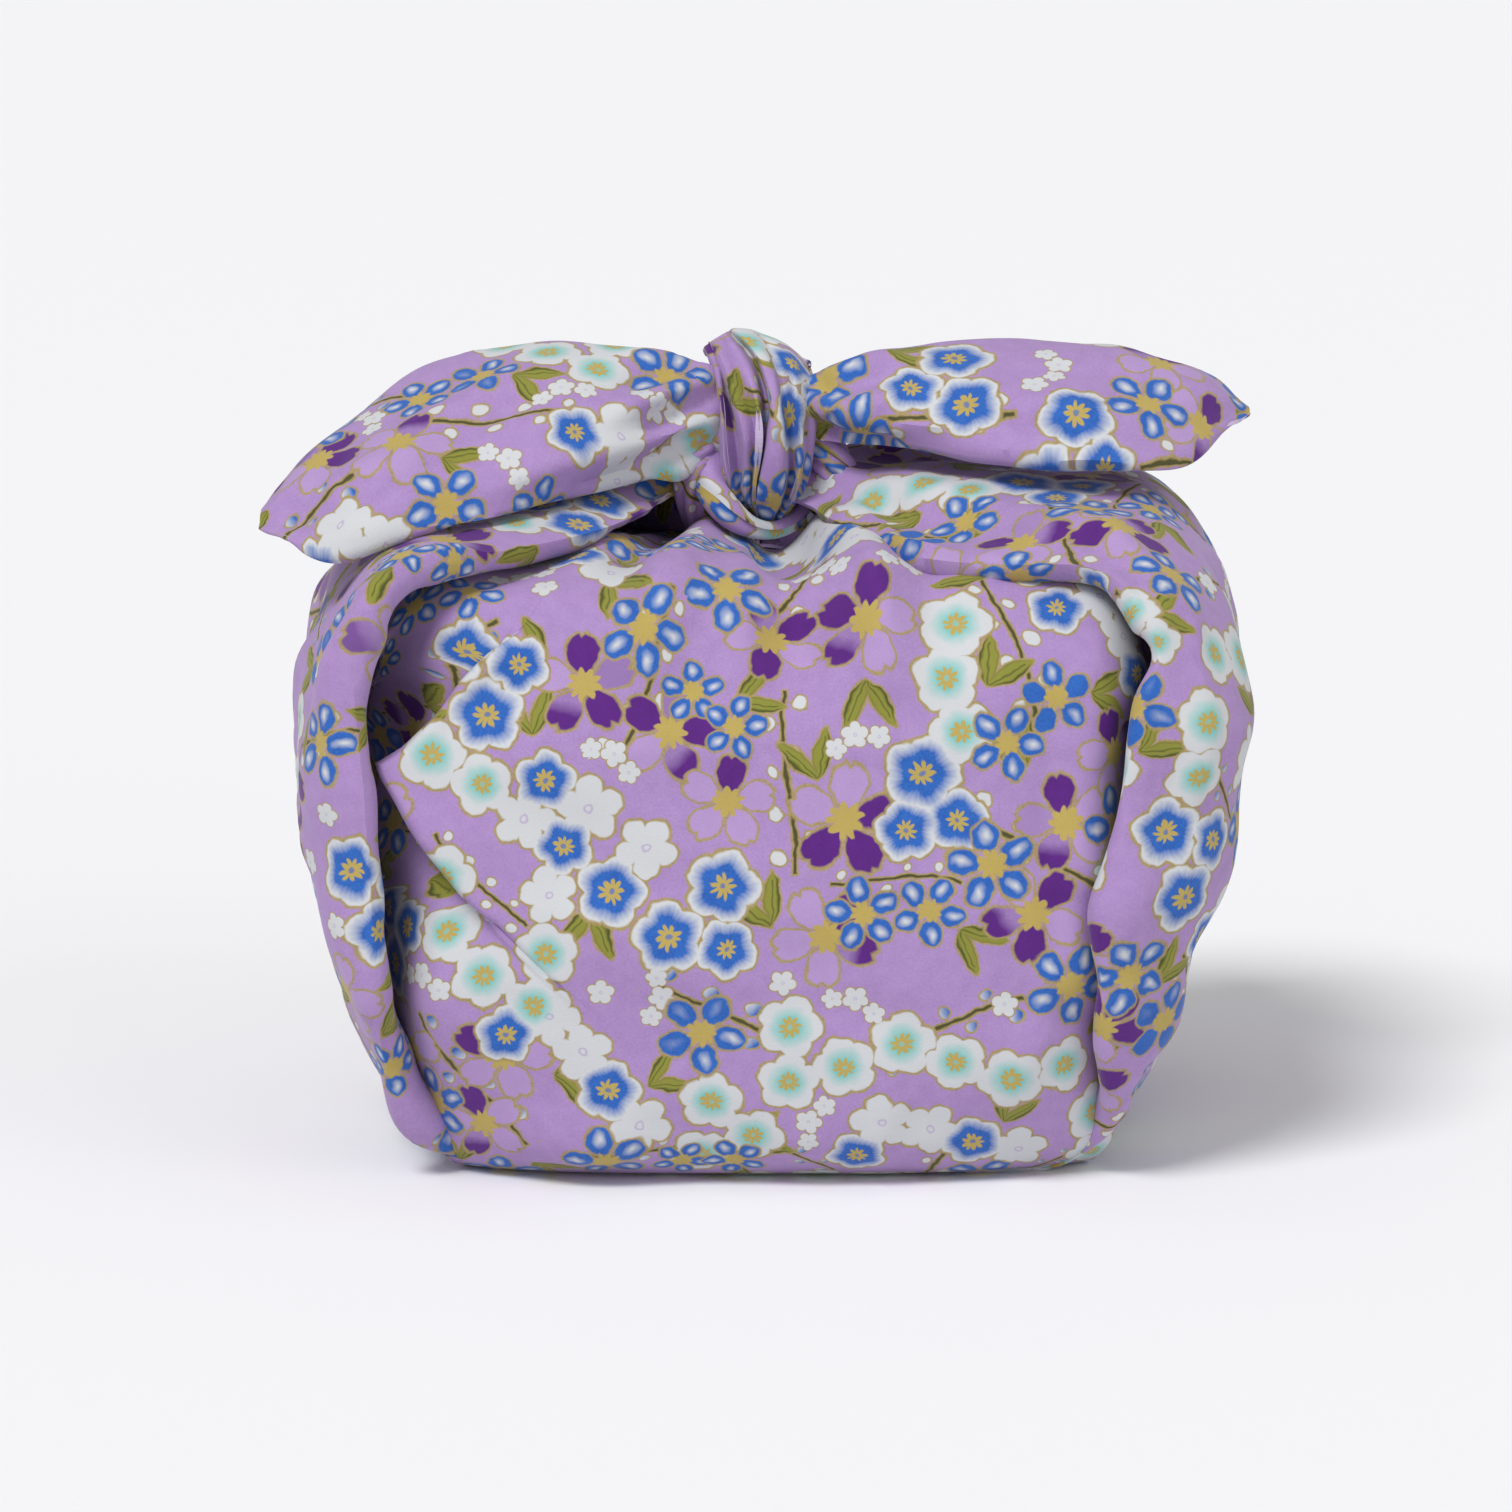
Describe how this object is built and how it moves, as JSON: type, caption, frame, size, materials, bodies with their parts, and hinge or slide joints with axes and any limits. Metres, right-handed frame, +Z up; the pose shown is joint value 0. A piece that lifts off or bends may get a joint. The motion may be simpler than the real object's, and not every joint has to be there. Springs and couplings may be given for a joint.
{
  "type": "furoshiki bag",
  "caption": "Cloth bag folded from a square of printed cotton round a box-like load and closed on top with a square knot with free ends",
  "frame": {"origin": "under the middle of the outline, on the surface that the bag stands on", "axes": "X to the right along the two tied ends, Y away from the front of the bag, Z up"},
  "size_m": [0.165, 0.1254, 0.1356],
  "materials": {
    "printed_cotton": "matt plain-weave cotton with a printed pattern of blossoms on lilac"
  },
  "bodies": {
    "root": {"cloth": "printed_cotton"}
  },
  "joints": []
}
